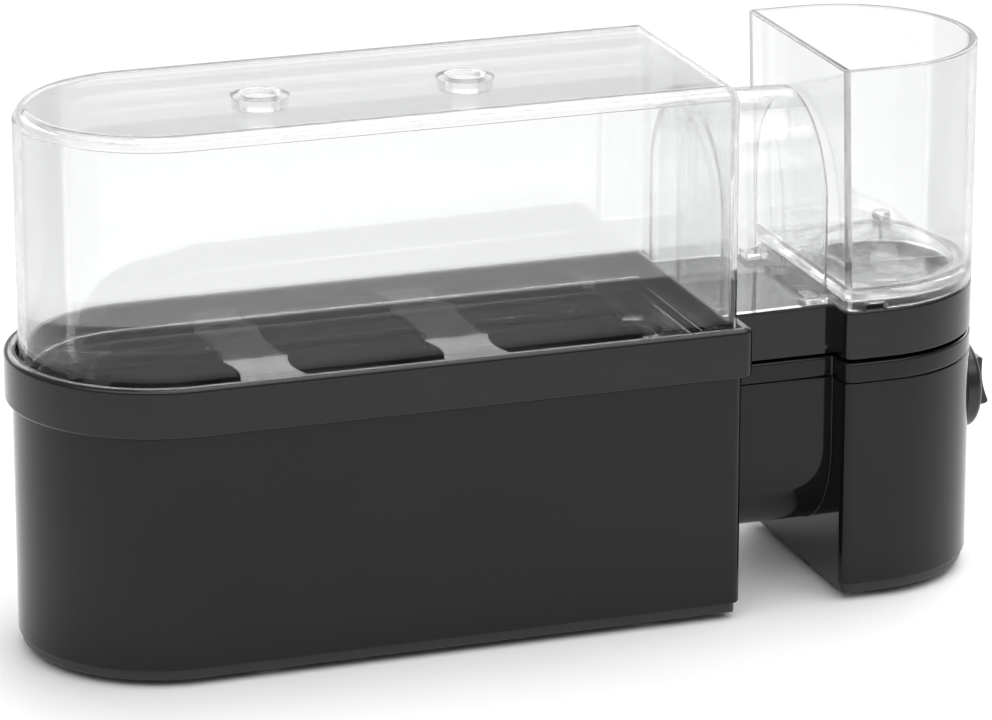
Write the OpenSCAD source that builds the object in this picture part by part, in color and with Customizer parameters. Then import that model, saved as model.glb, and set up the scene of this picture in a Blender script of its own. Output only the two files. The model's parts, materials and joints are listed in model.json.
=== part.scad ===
// Egg cooker for three eggs: long steam chamber, bridge and switch tower,
// a lift-out egg tray, a clear hood and a clear measuring cup.
// Millimetres, +Z up, X along the length with the switch tower at +X.

/* [Steam chamber] */

// Half width of the raised rim of the egg tray
rim_half_w = 34; // [32:0.5:36]

// Half width of the black housing below the rim
body_half_w = 32.3; // [31:0.1:33]

// Distance from the round end's centre to the flat end of the housing
body_flat_x = 126.3; // [122:0.1:130]

// Height of the top of the tray's rim
rim_top_z = 69.3; // [68:0.1:72]

// Height of the top of the clear hood
hood_top_z = 124.3; // [118:0.1:130]

// Distance between egg seats
seat_pitch = 47.4; // [46:0.1:48.5]

// Radius of the round opening of one egg seat
seat_r = 17.5; // [16:0.1:18]

/* [Bridge and tower] */

// Half width of the bridge between chamber and tower
bridge_half_w = 22.5; // [20:0.1:24]

// Height of the underside of the bridge
bridge_low_z = 12.5; // [12:0.5:20]

// Distance from the chamber's round end centre to the tower's flat wall
tower_flat_x = 151.8; // [150:0.1:154]

// Half width of the tower
tower_half_w = 29.6; // [28:0.1:31]

// Length of the straight part of the tower's sides
tower_side_l = 11.2; // [9:0.1:14]

// Height of the top edge of the measuring cup
cup_top_z = 125.2; // [110:0.1:130]

/* [Switch] */

// Height of the switch centre
switch_z = 39.8; // [36:0.1:42]

// Radius of the round switch bezel
bezel_r = 10.7; // [10.6:0.1:11]

// Rocker tilt away from its middle position, lower half out
rocker_tilt = 9; // [8:0.5:9]

/* [Hidden] */

$fn = 96;
eps = 0.01;
far = 400;

wall = 2;
corner_r = 2.4;
split_z = 52.2;
deck_top_z = 57.1;
deck_t = 1.8;
deck_lip_l = 2;
tray_low_z = 57.9;
tray_floor_z = 61.2;
tray_under_z = 59.7;
ledge_w = 2.4;
rib_h = 1.6;
rib_t = 1.5;
cover_low_z = 1.5;
cover_top_z = 4.2;
cover_inset = 0.8;
cover_edge_r = 1.2;
bridge_low_r = bridge_half_w - 0.5;

// Clearance of screws and lips, and the lip that centres each cover
play = 0.2;
lip_t = 1.5;
lip_top_z = 6.4;

rim_flat_x = body_flat_x + rim_half_w - body_half_w + 0.1;
tower_arc_x = tower_flat_x + tower_side_l;

// Clear hood
hood_half_w = 30.8;
hood_cap_half_w = 30.4;
hood_flat_x = 125.6;
hood_wall = 1.9;
hood_low_z = 63.6;
hood_cap_r = 3;
hood_step_z = hood_top_z - hood_cap_r;
hood_gap = 0.35;
collar_r = 6.2;
steam_r = 4.4;
collar_low_z = hood_top_z - 4.8;

// Grip arch on the hood's flat end
arch_root_r = 23.3;
arch_end_r = bridge_half_w;
arch_axis_z = 91.8;
arch_wall = 2;
arch_end_x = 149.9;
arch_low_z = rim_top_z + 0.2;
arch_foot_in_y = 15.2;
arch_foot_l = 4.6;
arch_foot_out = 0.3;
arch_foot_t = 1.5;

// Egg seats
first_seat_x = 0.5;
seat_x = [for (i = [0 : 2]) first_seat_x + i * seat_pitch];
steam_x = [for (i = [0, 1]) (seat_x[i] + seat_x[i + 1]) / 2];
lobe_r = 6.4;
lobe_reach = 16.6;
lobe_angles = [45, 135, 225, 315];
slot_y = 8.4;
slot_l = 3;
slot_end_r = 0.8;

// Heating dish
dish_flange_half_w = 29.9;
dish_half_w = 27;
dish_flat_x = body_flat_x - 7.3;
dish_flange_z = 54.6;
dish_flange_t = 1.2;
dish_low_z = 48;
dish_t = 1.2;
ledge_z = 53.6;
ledge_half_w = 27.6;
ledge_t = 1.6;
stud_x = [25, 100];
stud_r = 2;
stud_low_z = 31;
seal_half_w = 29.7;
seal_w = 1.8;
nut_t = 3;
bar_z = 36;
bar_t = 3;
bar_half_l = 5;
element_r = 3.25;
element_half_w = 14;
element_x0 = 6;
element_x1 = 106;
element_z = dish_low_z - element_r + 0.1;

// Measuring cup and the rib on the tray that centres it
cup_wall = 1.8;
cup_low_z = rim_top_z + 0.05;
cup_floor_z = 71.5;
cup_top_flat_x = 150.5;
cup_low_flat_x = 152;
rib_half_w = tower_half_w - cup_wall - 0.4;
rib_flat_x = cup_low_flat_x + cup_wall + 0.6;
dome_x = 172.2;
dome_r = 25.9;
dome_top_z = 80.2;
boss_r = 2.1;
boss_top_z = 83.1;
needle_r = 0.5;
needle_tip_z = 74.4;
needle_point_l = 2.5;
notch_x0 = 156.5;
notch_x1 = 161.5;
notch_h = 1.4;

// Switch
spotface_x = 190.7;
pad_t = 4;
pad_half = 12;
bezel_front_x = 194.6;
bezel_edge_r = 1.5;
pivot_x = 189.4;
pivot_r = 1;
rocker_half_w = 5;
rocker_half_h = 5.8;
rocker_skirt_r = 6.2;
rocker_reach = 8.4;
rocker_dip = 0.9;
slot_half_w = 5.3;
slot_half_h = 7;
switch_half_w = 6.3;
switch_half_h = 7.9;
rocker_chamfer = 1.2;
switch_back_x = 176;
blade_l = 8;
blade_z = [switch_z - 4.6, switch_z + 4.6];

// The origin sits midway between the rim's round end and the rocker's outer corner
rocker_out_x = pivot_x + rocker_reach * cos(rocker_tilt)
             + (rocker_half_h - rocker_chamfer) * sin(rocker_tilt);
x_shift = (rim_half_w - rocker_out_x) / 2;

// Base hardware
foot_r = 4.5;
feet = [[2, -22], [2, 22], [114, -22], [114, 22], [170, -16], [170, 16]];
base_screw_xy = [[16, -26.6], [16, 26.6], [104, -26.6], [104, 26.6]];
tower_screw_xy = [[157, -23.9], [157, 23.9]];
screw_head_r = 3;
screw_r = 1.4;
pilot_r = 1.5;
boss_out_r = 4.2;
boss_h = 12;
counterbore_z = 3;
screw_z = 1.6;
screw_l = 10;
vent_count = 5;
vent_x = 50;
vent_pitch = 7;
vent_w = 2;
vent_half_l = 9;

// Cord outlet at the back, wiring and small electrical parts
gland_x = 84;
gland_z = 16;
gland_half = 4.4;
gland_flange_r = 6.4;
cord_bore_r = 3.3;
block_x = 98;
block_l = 14;
block_half_w = 11;
block_top_z = 18;
thermostat_x = 62;
fuse_x = 80;
fuse_y = 4;
fuse_z = dish_low_z - 2.4;
buzzer_x = 34;
pole_y = 7;
pole_inset = 3;
pole_depth = 5.9;
heater_wire_z = 28;
switch_wire_z = 23;
pin_l = 8;
wire_r = 1.2;

// ---------------------------------------------------------------- helpers

// Everything below is drawn with x = 0 at the round end's centre.
module place() {
  translate([x_shift, 0, 0]) children();
}

// Flat D outline: half circle at arc_x, straight sides, flat edge at flat_x > arc_x
module d_right(half_w, flat_x, edge_r = 0) {
  intersection() {
    circle(half_w);
    translate([-far, -far]) square([far + eps, 2 * far]);
  }
  translate([0, -half_w]) square([flat_x - edge_r, 2 * half_w]);
  if (edge_r > 0) {
    translate([0, edge_r - half_w]) square([flat_x, 2 * (half_w - edge_r)]);
    for (side = [-1, 1]) {
      translate([flat_x - edge_r, side * (half_w - edge_r)]) circle(edge_r);
    }
  }
}

// D outline of the tower: flat edge at flat_x, half circle towards +X
module d_tower(half_w, flat_x, edge_r = 0) {
  translate([tower_arc_x, 0])
    mirror([1, 0])
      d_right(half_w, tower_arc_x - flat_x, edge_r);
}

module d_block(half_w, flat_x, z0, z1, edge_r = 0) {
  translate([0, 0, z0])
    linear_extrude(z1 - z0)
      d_right(half_w, flat_x, edge_r);
}

module d_tower_block(half_w, flat_x, z0, z1, edge_r = 0) {
  translate([0, 0, z0])
    linear_extrude(z1 - z0)
      d_tower(half_w, flat_x, edge_r);
}

// Rectangle from z = 0 up to h with both upper corners rounded
module round_top(half_w, h, r) {
  translate([-half_w, 0]) square([2 * half_w, h - r]);
  translate([r - half_w, 0]) square([2 * (half_w - r), h]);
  for (side = [-1, 1]) {
    translate([side * (half_w - r), h - r]) circle(r);
  }
}

// D shaped block whose top edge is rounded all the way round
module capped_d(half_w, flat_x, h, top_r, edge_r) {
  intersection() {
    rotate_extrude() intersection() {
      round_top(half_w, h, top_r);
      square([far, far]);
    }
    translate([-far, -far, -eps]) cube([far + eps, 2 * far, far]);
  }
  intersection() {
    rotate([90, 0, 90]) linear_extrude(flat_x) round_top(half_w, h, top_r);
    rotate([90, 0, 0]) translate([0, 0, -far / 2]) linear_extrude(far) round_top(flat_x, h, top_r);
    linear_extrude(h) d_right(half_w, flat_x, edge_r);
  }
}

// Same block for the tower, flat side towards -X
module capped_tower(half_w, flat_x, h, top_r, edge_r) {
  translate([tower_arc_x, 0, 0])
    mirror([1, 0, 0])
      capped_d(half_w, tower_arc_x - flat_x, h, top_r, edge_r);
}

// Cylinder along +X or +Y
module rod_x(r, x0, x1) {
  translate([x0, 0, 0]) rotate([0, 90, 0]) cylinder(r = r, h = x1 - x0);
}

module rod_y(r, y0, y1) {
  translate([0, y0, 0]) rotate([-90, 0, 0]) cylinder(r = r, h = y1 - y0);
}

// Box given by its two corners
module span(low, high) {
  translate(low) cube(high - low);
}

// Round wire along a chain of axis-parallel legs
module wire(points) {
  for (i = [0 : len(points) - 2]) {
    leg = points[i + 1] - points[i];
    from = leg[0] + leg[1] + leg[2] > 0 ? points[i] : points[i + 1];
    length = norm(leg);
    turn = leg[0] != 0 ? [0, 90, 0] : leg[1] != 0 ? [-90, 0, 0] : [0, 0, 0];
    translate(from) rotate(turn) cylinder(r = wire_r, h = length, $fn = 24);
  }
  for (i = [1 : len(points) - 2]) {
    translate(points[i]) sphere(wire_r + 0.05, $fn = 24);
  }
}

// ---------------------------------------------------------------- housing

// Bridge profile in the YZ plane with rounded lower edges
module bridge_profile(half_w, low_z, top_z, low_r) {
  intersection() {
    translate([-half_w, low_z]) square([2 * half_w, top_z - low_z]);
    union() {
      translate([-half_w, low_z + low_r]) square([2 * half_w, top_z - low_z - low_r]);
      translate([low_r - half_w, low_z]) square([2 * (half_w - low_r), low_r]);
      for (side = [-1, 1]) {
        translate([side * (half_w - low_r), low_z + low_r]) circle(low_r);
      }
    }
  }
}

module bridge(half_w, low_z, top_z, low_r, x0, x1) {
  translate([x0, 0, 0])
    rotate([90, 0, 90])
      linear_extrude(x1 - x0)
        bridge_profile(half_w, low_z, top_z, low_r);
}

module screw_bosses(places, z0) {
  for (at = places) {
    translate([at[0], at[1], z0]) cylinder(r = boss_out_r, h = boss_h);
  }
}

module screw_bores(places, z0) {
  for (at = places) {
    translate([at[0], at[1], z0 - eps]) cylinder(r = pilot_r, h = boss_h - 2);
  }
}

module lower_housing() {
  inner = body_half_w - wall;
  color([0.09, 0.09, 0.1]) place() difference() {
    union() {
      difference() {
        union() {
          d_block(body_half_w, body_flat_x, cover_top_z, tray_under_z, corner_r);
          d_tower_block(tower_half_w, tower_flat_x, cover_top_z, split_z, corner_r);
          bridge(bridge_half_w, bridge_low_z, split_z, bridge_low_r, body_flat_x - 1, tower_flat_x + 1);
        }
        d_block(inner, body_flat_x - wall, cover_top_z - 1, tray_under_z + 1, corner_r - 1);
        d_tower_block(tower_half_w - wall, tower_flat_x + wall, cover_top_z - 1, split_z + 1, corner_r - 1);
        bridge(bridge_half_w - wall, bridge_low_z + wall, split_z + 1, bridge_low_r - wall,
               body_flat_x + eps, tower_flat_x + wall + 1);
        bridge(bridge_half_w - wall, bridge_low_z + wall, split_z - 4, bridge_low_r - wall,
               body_flat_x - wall - 1, body_flat_x + 1);
      }
      // ledge that carries the dish and its seal
      difference() {
        d_block(inner + eps, body_flat_x - wall + eps, ledge_z - ledge_t, ledge_z);
        d_block(ledge_half_w, body_flat_x - wall - inner + ledge_half_w, ledge_z - 2, ledge_z + 1);
      }
      // two bars that the dish studs are bolted through
      for (x = stud_x) {
        span([x - bar_half_l, -inner - eps, bar_z], [x + bar_half_l, inner + eps, bar_z + bar_t]);
      }
      screw_bosses(base_screw_xy, cover_top_z);
      screw_bosses(tower_screw_xy, cover_top_z);
      // thick pad behind the switch
      intersection() {
        span([spotface_x - pad_t, -pad_half, switch_z - pad_half],
             [spotface_x, pad_half, switch_z + pad_half]);
        d_tower_block(tower_half_w - 0.5, tower_flat_x, cover_top_z, split_z);
      }
    }
    screw_bores(base_screw_xy, cover_top_z);
    screw_bores(tower_screw_xy, cover_top_z);
    for (x = stud_x) {
      translate([x, 0, bar_z - 1]) cylinder(r = stud_r + 0.3, h = bar_t + 2);
    }
    translate([spotface_x, 0, switch_z]) rod_x(bezel_r + play, 0, far);
    span([spotface_x - pad_t - 2, -switch_half_w - play, switch_z - switch_half_h - play],
         [spotface_x + 1, switch_half_w + play, switch_z + switch_half_h + play]);
    // square seat that keeps the gland from turning
    span([gland_x - gland_half, body_half_w - wall - 1, gland_z - gland_half],
         [gland_x + gland_half, body_half_w + 1, gland_z + gland_half]);
  }
}

// Room around the bosses in a cover's lip
module boss_room(places) {
  for (at = places) {
    translate([at[0], at[1], cover_top_z]) cylinder(r = boss_out_r + play, h = 4);
  }
}

// Counterbored holes for the screws in a cover
module screw_room(places) {
  for (at = places) {
    translate([at[0], at[1], 0]) {
      cylinder(r = screw_r + play, h = lip_top_z + 1);
      cylinder(r = screw_head_r + play, h = counterbore_z);
    }
  }
}

// Shallow lid under the chamber with a rounded outer edge
module base_cover() {
  half_w = body_half_w - cover_inset;
  flat_x = body_flat_x - cover_inset;
  color([0.08, 0.08, 0.09]) place() difference() {
    union() {
      translate([0, 0, cover_top_z])
        mirror([0, 0, 1])
          capped_d(half_w, flat_x, cover_top_z - cover_low_z, cover_edge_r, corner_r);
      difference() {
        d_block(body_half_w - wall - play, body_flat_x - wall - play, cover_top_z - 0.5, lip_top_z, 1);
        d_block(body_half_w - wall - play - lip_t, body_flat_x - wall - play - lip_t,
                cover_top_z, lip_top_z + 1);
        boss_room(base_screw_xy);
      }
    }
    screw_room(base_screw_xy);
    // slots that let air into the base
    for (i = [0 : vent_count - 1]) {
      translate([vent_x + vent_pitch * i, 0, 0])
        span([0, -vent_half_l, 0], [vent_w, vent_half_l, lip_top_z + 1]);
    }
  }
}

module tower_base_cover() {
  half_w = tower_half_w - cover_inset;
  flat_x = tower_flat_x + cover_inset;
  color([0.08, 0.08, 0.09]) place() difference() {
    union() {
      translate([0, 0, cover_top_z])
        mirror([0, 0, 1])
          capped_tower(half_w, flat_x, cover_top_z - cover_low_z, cover_edge_r, corner_r);
      difference() {
        d_tower_block(tower_half_w - wall - play, tower_flat_x + wall + play,
                      cover_top_z - 0.5, lip_top_z, 1);
        d_tower_block(tower_half_w - wall - play - lip_t, tower_flat_x + wall + play + lip_t,
                      cover_top_z, lip_top_z + 1);
        boss_room(tower_screw_xy);
      }
    }
    screw_room(tower_screw_xy);
  }
}

// Cover over the bridge and the tower, with a lip that drops into the housing
module top_deck() {
  color([0.09, 0.09, 0.1]) place() difference() {
    union() {
      d_tower_block(tower_half_w, tower_flat_x, split_z, deck_top_z, corner_r);
      span([body_flat_x, -bridge_half_w, split_z], [tower_flat_x + 3, bridge_half_w, deck_top_z]);
      d_tower_block(tower_half_w - wall - play, tower_flat_x + wall + play,
                    split_z - deck_lip_l, deck_top_z - 1, 1);
    }
    d_tower_block(tower_half_w - wall - play - lip_t, tower_flat_x + wall + play + lip_t,
                  split_z - deck_lip_l - 1, deck_top_z - deck_t);
    span([body_flat_x + wall, wall - bridge_half_w, split_z - deck_lip_l - 1],
         [tower_flat_x + wall + 3, bridge_half_w - wall, deck_top_z - deck_t]);
    // room for the pad behind the switch
    span([spotface_x - pad_t - 0.5, -pad_half - 0.5, split_z - deck_lip_l - 1],
         [far, pad_half + 0.5, split_z]);
  }
}

module rubber_feet() {
  color([0.05, 0.05, 0.05]) place() for (at = feet) {
    translate([at[0], at[1], 0]) cylinder(r1 = foot_r - 0.5, r2 = foot_r, h = cover_low_z);
  }
}

// Pan-head screw driven upwards, its cross recess in the head
module screw_up(length) {
  difference() {
    union() {
      cylinder(r = screw_head_r, h = 1.4);
      cylinder(r = screw_r, h = length);
    }
    for (turn = [0, 90]) {
      rotate(turn) span([-2, -0.35, -1], [2, 0.35, 0.7]);
    }
  }
}

module base_screws() {
  color([0.75, 0.75, 0.75]) place() for (at = base_screw_xy) {
    translate([at[0], at[1], screw_z]) screw_up(screw_l);
  }
}

module tower_screws() {
  color([0.75, 0.75, 0.75]) place() for (at = tower_screw_xy) {
    translate([at[0], at[1], screw_z]) screw_up(screw_l);
  }
}

// ---------------------------------------------------------------- heating

module heating_dish() {
  color([0.28, 0.28, 0.3]) place() {
    difference() {
      union() {
        d_block(dish_flange_half_w, dish_flat_x + dish_flange_half_w - dish_half_w,
                dish_flange_z, dish_flange_z + dish_flange_t, 2);
        d_block(dish_half_w, dish_flat_x, dish_low_z, dish_flange_z + dish_flange_t, 3);
      }
      d_block(dish_half_w - dish_t, dish_flat_x - dish_t, dish_low_z + dish_t, dish_flange_z + 3, 2);
    }
    for (x = stud_x) {
      translate([x, 0, stud_low_z]) cylinder(r = stud_r, h = dish_low_z - stud_low_z + 0.5);
    }
  }
}

module dish_seal() {
  color([0.55, 0.2, 0.15]) place() difference() {
    d_block(seal_half_w, dish_flat_x + seal_half_w - dish_half_w, ledge_z, dish_flange_z, 2);
    d_block(seal_half_w - seal_w, dish_flat_x + seal_half_w - seal_w - dish_half_w,
            ledge_z - 1, dish_flange_z + 1, 1);
  }
}

module dish_nuts() {
  color([0.75, 0.75, 0.72]) place() for (x = stud_x) {
    translate([x, 0, bar_z - nut_t]) difference() {
      cylinder(r = 2 * stud_r, h = nut_t, $fn = 6);
      translate([0, 0, -1]) cylinder(r = stud_r + 0.1, h = nut_t + 2);
    }
  }
}

// Hairpin heater: a half ring and two straight legs under the dish
module heating_element() {
  color([0.45, 0.44, 0.42]) place() translate([element_x0, 0, element_z]) {
    intersection() {
      rotate_extrude() translate([element_half_w, 0]) circle(element_r, $fn = 48);
      span([-far, -far, -far], [eps, far, far]);
    }
    for (side = [-1, 1]) {
      translate([0, side * element_half_w, 0]) rod_x(element_r, 0, element_x1 - element_x0);
    }
  }
}

module element_pins() {
  color([0.8, 0.78, 0.7]) place() for (side = [-1, 1]) {
    translate([element_x1, side * element_half_w, element_z]) {
      rod_x(2.2, 0, 2);
      rod_x(1.1, 2, pin_l);
    }
  }
}

module thermostat() {
  color([0.7, 0.66, 0.55]) place() translate([thermostat_x, 0, 0]) {
    translate([0, 0, dish_low_z - 3]) cylinder(r = 8, h = 3);
    translate([0, 0, dish_low_z - 9]) cylinder(r = 6.5, h = 6);
    for (side = [-1, 1]) {
      span([side * 8.5 - 3, -2, dish_low_z - 9.8], [side * 8.5 + 3, 2, dish_low_z - 9]);
    }
  }
}

module thermal_fuse() {
  color([0.8, 0.75, 0.5]) place() translate([fuse_x, fuse_y, fuse_z]) {
    rod_x(2, 0, 12);
    rod_x(0.5, -5, 17);
  }
}

module fuse_clip() {
  color([0.7, 0.7, 0.7]) place() translate([fuse_x + 3, fuse_y, fuse_z]) difference() {
    span([0, -4, -2.8], [6, 4, 2.4]);
    rod_x(2.05, -1, 7);
  }
}

module earth_tag() {
  color([0.8, 0.65, 0.3]) place() translate([stud_x[1], 0, bar_z + bar_t]) difference() {
    union() {
      cylinder(r = 4.2, h = 0.8);
      span([-2.4, 0, 0], [2.4, 11, 0.8]);
    }
    translate([0, 0, -1]) cylinder(r = stud_r + 0.2, h = 3);
  }
}

module terminal_block() {
  color([0.85, 0.83, 0.78]) place() difference() {
    span([block_x, -block_half_w, cover_top_z], [block_x + block_l, block_half_w, block_top_z]);
    for (y = [-pole_y, 0, pole_y]) {
      for (x = [block_x + pole_inset, block_x + block_l - pole_inset]) {
        translate([x, y, block_top_z - pole_depth - 0.1]) cylinder(r = 1.9, h = pole_depth + 1);
      }
    }
  }
}

module buzzer() {
  color([0.12, 0.12, 0.12]) place() translate([buzzer_x, 0, cover_top_z]) difference() {
    cylinder(r = 11, h = 9);
    translate([0, 0, 6]) cylinder(r = 1.5, h = 4);
  }
}

// Bushing in the rear wall that the mains lead would leave through
module cord_gland() {
  color([0.06, 0.06, 0.06]) place() translate([gland_x, 0, gland_z]) difference() {
    union() {
      span([-gland_half, body_half_w - wall - 1.4, -gland_half],
           [gland_half, body_half_w, gland_half]);
      rod_y(gland_flange_r, body_half_w, body_half_w + 1.6);
      rod_y(gland_flange_r, body_half_w - wall - 1.4, body_half_w - wall);
    }
    rod_y(cord_bore_r, 0, far);
  }
}

module heater_wires() {
  color([0.75, 0.15, 0.12]) place() for (side = [-1, 1]) {
    wire([
      [element_x1 + pin_l, side * element_half_w, element_z],
      [element_x1 + pin_l + 4, side * element_half_w, element_z],
      [element_x1 + pin_l + 4, side * element_half_w, heater_wire_z],
      [element_x1 + pin_l + 4, side * pole_y, heater_wire_z],
      [block_x + block_l - pole_inset, side * pole_y, heater_wire_z],
      [block_x + block_l - pole_inset, side * pole_y, block_top_z - pole_depth]
    ]);
  }
}

module switch_wires() {
  color([0.2, 0.3, 0.7]) place() for (i = [0, 1]) {
    wire([
      [switch_back_x - blade_l, 4 * i - 2, blade_z[i]],
      [switch_back_x - blade_l - 5 - 3 * i, 4 * i - 2, blade_z[i]],
      [switch_back_x - blade_l - 5 - 3 * i, 4 * i - 2, switch_wire_z],
      [block_x + pole_inset, 4 * i - 2, switch_wire_z],
      [block_x + pole_inset, (2 * i - 1) * pole_y, switch_wire_z],
      [block_x + pole_inset, (2 * i - 1) * pole_y, block_top_z - pole_depth]
    ]);
  }
}

// ---------------------------------------------------------------- switch

module at_switch() {
  place() translate([0, 0, switch_z]) children();
}

module switch_bezel() {
  front = bezel_front_x - spotface_x;
  color([0.08, 0.08, 0.08]) at_switch() difference() {
    translate([spotface_x, 0, 0])
      rotate([0, 90, 0])
        rotate_extrude() intersection() {
          round_top(bezel_r, front, bezel_edge_r);
          square([far, far]);
        }
    span([0, -slot_half_w, -slot_half_h], [far, slot_half_w, slot_half_h]);
  }
}

module switch_body() {
  color([0.1, 0.1, 0.1]) at_switch() difference() {
    span([switch_back_x, -switch_half_w, -switch_half_h], [spotface_x, switch_half_w, switch_half_h]);
    span([pivot_x - rocker_skirt_r - 0.6, -slot_half_w, -slot_half_h], [far, slot_half_w, slot_half_h]);
    translate([pivot_x, 0, 0]) rod_y(pivot_r, -far, far);
  }
}

module switch_blades() {
  color([0.85, 0.7, 0.35]) place() for (i = [0, 1]) {
    span([switch_back_x - blade_l, 4 * i - 4.4, blade_z[i] - 0.4],
         [switch_back_x, 4 * i + 0.4, blade_z[i] + 0.4]);
  }
}

module rocker_pin() {
  color([0.8, 0.8, 0.8]) at_switch() translate([pivot_x, 0, 0]) {
    rod_y(pivot_r, -switch_half_w, switch_half_w);
  }
}

// Rocker drawn in its middle position about the pin, then tilted, lower half out
module switch_rocker() {
  color([0.06, 0.06, 0.06]) at_switch() translate([pivot_x, 0, 0]) rotate([0, -rocker_tilt, 0])
    difference() {
      union() {
        rod_y(rocker_skirt_r, -rocker_half_w, rocker_half_w);
        rotate([90, 0, 0])
          translate([0, 0, -rocker_half_w])
            linear_extrude(2 * rocker_half_w)
              polygon([
                [0, -rocker_half_h], [rocker_reach - rocker_chamfer, -rocker_half_h],
                [rocker_reach, rocker_chamfer - rocker_half_h], [rocker_reach - rocker_dip, 0],
                [rocker_reach, rocker_half_h - rocker_chamfer],
                [rocker_reach - rocker_chamfer, rocker_half_h], [0, rocker_half_h]
              ]);
      }
      rod_y(pivot_r + 0.2, -far, far);
    }
}

// ---------------------------------------------------------------- tray, hood and cup

// Outline of one egg seat: a round opening with lobes that let steam past
module seat_outline(extra) {
  circle(seat_r);
  for (a = concat(lobe_angles, extra)) {
    rotate(a) translate([lobe_reach, 0]) circle(lobe_r);
  }
}

// Stub under the tower end of the tray that rests on the deck
module tray_prop() {
  translate([dome_x, 0, deck_top_z]) cylinder(r = 4, h = rim_top_z - wall - deck_top_z + 0.1);
}

// Lift-out tray: rim, floor with the seats, and the handle over bridge and tower
module egg_tray() {
  recess_half_w = hood_half_w + hood_gap;
  recess_flat_x = hood_flat_x + hood_gap;
  color([0.08, 0.08, 0.09]) place() difference() {
    union() {
      d_block(rim_half_w, rim_flat_x, tray_low_z, rim_top_z, corner_r);
      span([rim_flat_x - 1, -bridge_half_w, tray_low_z], [tower_flat_x + 3, bridge_half_w, rim_top_z]);
      d_tower_block(tower_half_w, tower_flat_x, tray_low_z, rim_top_z, corner_r);
      // raised rib that centres the cup
      difference() {
        d_tower_block(rib_half_w, rib_flat_x, rim_top_z - 1, rim_top_z + rib_h, rib_t);
        d_tower_block(rib_half_w - rib_t, rib_flat_x + rib_t, rim_top_z, rim_top_z + rib_h + 1);
      }
    }
    // skirt around the top of the housing
    d_block(body_half_w + 0.3, body_flat_x + 0.3, tray_low_z - 1, tray_under_z, corner_r);
    // steam chamber above the floor, and the recess that the hood drops into
    d_block(recess_half_w - ledge_w, recess_flat_x - ledge_w, tray_floor_z, rim_top_z + 1);
    d_block(recess_half_w, recess_flat_x, hood_low_z, rim_top_z + 3, corner_r);
    // hollow underside of handle and tower top
    difference() {
      union() {
        span([rim_flat_x + 0.4, wall - bridge_half_w, tray_low_z - 1],
             [tower_flat_x + wall + 1, bridge_half_w - wall, rim_top_z - wall]);
        d_tower_block(tower_half_w - wall, tower_flat_x + wall, tray_low_z - 1, rim_top_z - wall, 1);
      }
      tray_prop();
    }
    for (i = [0 : 2]) {
      translate([seat_x[i], 0, tray_under_z - 1])
        linear_extrude(3)
          seat_outline(i == 0 ? [180] : i == 2 ? [0] : []);
    }
    for (x = steam_x, side = [-1, 1]) {
      translate([x, side * slot_y, tray_under_z - 1]) linear_extrude(3) {
        square([slot_l, 2 * slot_end_r], center = true);
        translate([slot_l / 2, 0]) circle(slot_end_r);
        translate([-slot_l / 2, 0]) circle(slot_end_r);
      }
    }
  }
  color([0.08, 0.08, 0.09]) place() tray_prop();
}

module hood_shell(grow_in) {
  low = hood_half_w - grow_in;
  cap = hood_cap_half_w - grow_in;
  flat = hood_flat_x - grow_in;
  flat_cap = flat - hood_half_w + hood_cap_half_w;
  z0 = grow_in > 0 ? hood_low_z - 1 : hood_low_z;
  d_block(low, flat, z0, hood_step_z - grow_in, corner_r);
  translate([0, 0, z0])
    capped_d(cap, flat_cap, hood_top_z - grow_in - z0, hood_cap_r - grow_in / 2, corner_r);
}

// Radius of the arch's outer face at a place along the bridge
function arch_r(x) =
  arch_root_r + (arch_end_r - arch_root_r) * (x - hood_flat_x) / (arch_end_x - hood_flat_x);

// Half cone about the X axis on two straight tapering legs
module arch_solid(shrink, x0, x1, z0) {
  r0 = arch_r(x0) - shrink;
  r1 = arch_r(x1) - shrink;
  intersection() {
    translate([x0, 0, arch_axis_z]) rotate([0, 90, 0]) cylinder(r1 = r0, r2 = r1, h = x1 - x0);
    span([x0 - 1, -far, arch_axis_z - eps], [x1 + 1, far, far]);
  }
  translate([0, 0, z0])
    linear_extrude(arch_axis_z - z0)
      polygon([[x0, -r0], [x1, -r1], [x1, r1], [x0, r0]]);
}

module hood() {
  color([0.85, 0.88, 0.9, 0.35]) place() {
    difference() {
      union() {
        difference() {
          hood_shell(0);
          hood_shell(hood_wall);
        }
        for (x = steam_x) {
          translate([x, 0, collar_low_z]) cylinder(r = collar_r, h = hood_top_z - collar_low_z - 1);
        }
      }
      for (x = steam_x) {
        translate([x, 0, collar_low_z - 1]) cylinder(r = steam_r, h = 10);
      }
    }
    difference() {
      arch_solid(0, hood_flat_x - 0.5, arch_end_x, arch_low_z);
      arch_solid(arch_wall, hood_flat_x - 2, arch_end_x + 2, arch_low_z - 2);
    }
    for (side = [-1, 1]) {
      span([arch_end_x - arch_foot_l, side > 0 ? arch_foot_in_y : -arch_end_r, arch_low_z],
           [arch_end_x + arch_foot_out, side > 0 ? arch_end_r : -arch_foot_in_y, arch_low_z + arch_foot_t]);
    }
  }
}

module cup_outline(inset, z0, z1) {
  intersection() {
    d_tower_block(tower_half_w - inset, cup_top_flat_x - 1, z0, z1, 1.6);
    rotate([90, 0, 0]) translate([0, 0, -far / 2]) linear_extrude(far)
      polygon([
        [cup_low_flat_x + inset, cup_low_z], [cup_top_flat_x + inset, cup_top_z],
        [cup_top_flat_x + inset, cup_top_z + 9], [far, cup_top_z + 9],
        [far, cup_low_z - 9], [cup_low_flat_x + inset, cup_low_z - 9]
      ]);
  }
}

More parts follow.
